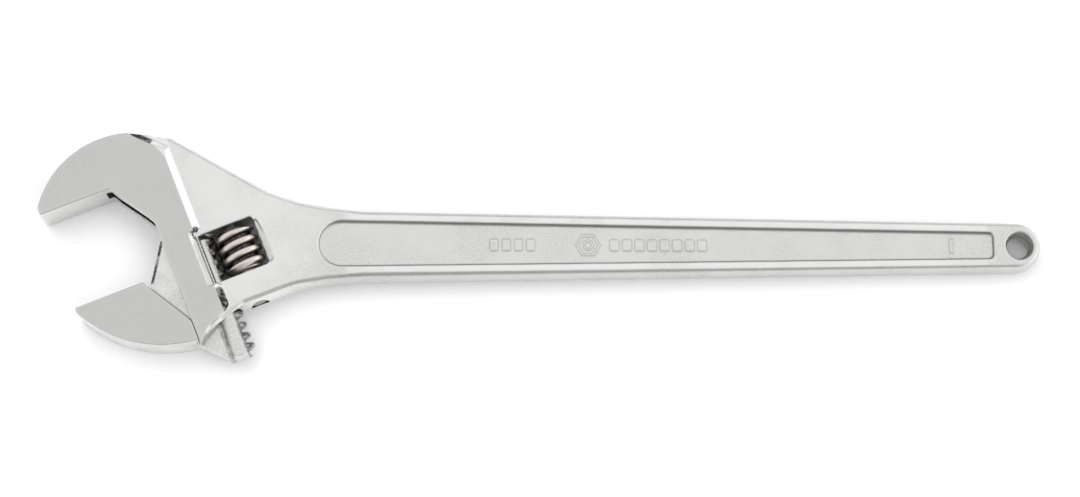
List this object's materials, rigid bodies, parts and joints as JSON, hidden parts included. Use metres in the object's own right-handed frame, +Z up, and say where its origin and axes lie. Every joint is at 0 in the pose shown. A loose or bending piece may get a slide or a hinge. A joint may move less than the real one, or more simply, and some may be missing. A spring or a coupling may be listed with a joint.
{
  "type": "adjustable wrench",
  "caption": "Large chrome adjustable wrench with a sliding jaw moved by a knurl, tapered handle with recessed panels and a hang hole.",
  "frame": {"origin": "centre of the hang hole, halfway through the handle's thickness", "axes": "+X out of the handle's end with the head towards -X, +Y to the fixed jaw's side, +Z up through the hang hole"},
  "size_m": [0.6081, 0.1401, 0.0286],
  "materials": {
    "satin_chrome": "satin",
    "ground_steel": "finely ground",
    "dark_steel": "turned, lightly oiled",
    "pin_steel": "turned",
    "spring_steel": "drawn wire"
  },
  "bodies": {
    "wrench": {"frame": "satin_chrome", "knurl_pin": "pin_steel", "knurl_spring": "spring_steel"},
    "jaw": {"movable_jaw": "ground_steel"},
    "adjuster": {"knurl": "dark_steel"}
  },
  "joints": [
    {"name": "jaw_slide", "type": "slide", "parent": "wrench", "child": "jaw", "axis": [-0.3746, 0.9272, 0], "range_m": [0, 0.0614]},
    {"name": "knurl_spin", "type": "hinge", "parent": "wrench", "child": "adjuster", "pos_m": [-0.4735, -0.0031, 0], "axis": [-0.3746, 0.9272, 0], "range_deg": [-3240, 10]}
  ],
  "couplings": [
    {"joint": "knurl_spin", "follows": "jaw_slide", "rad_per_m": -917.25}
  ]
}
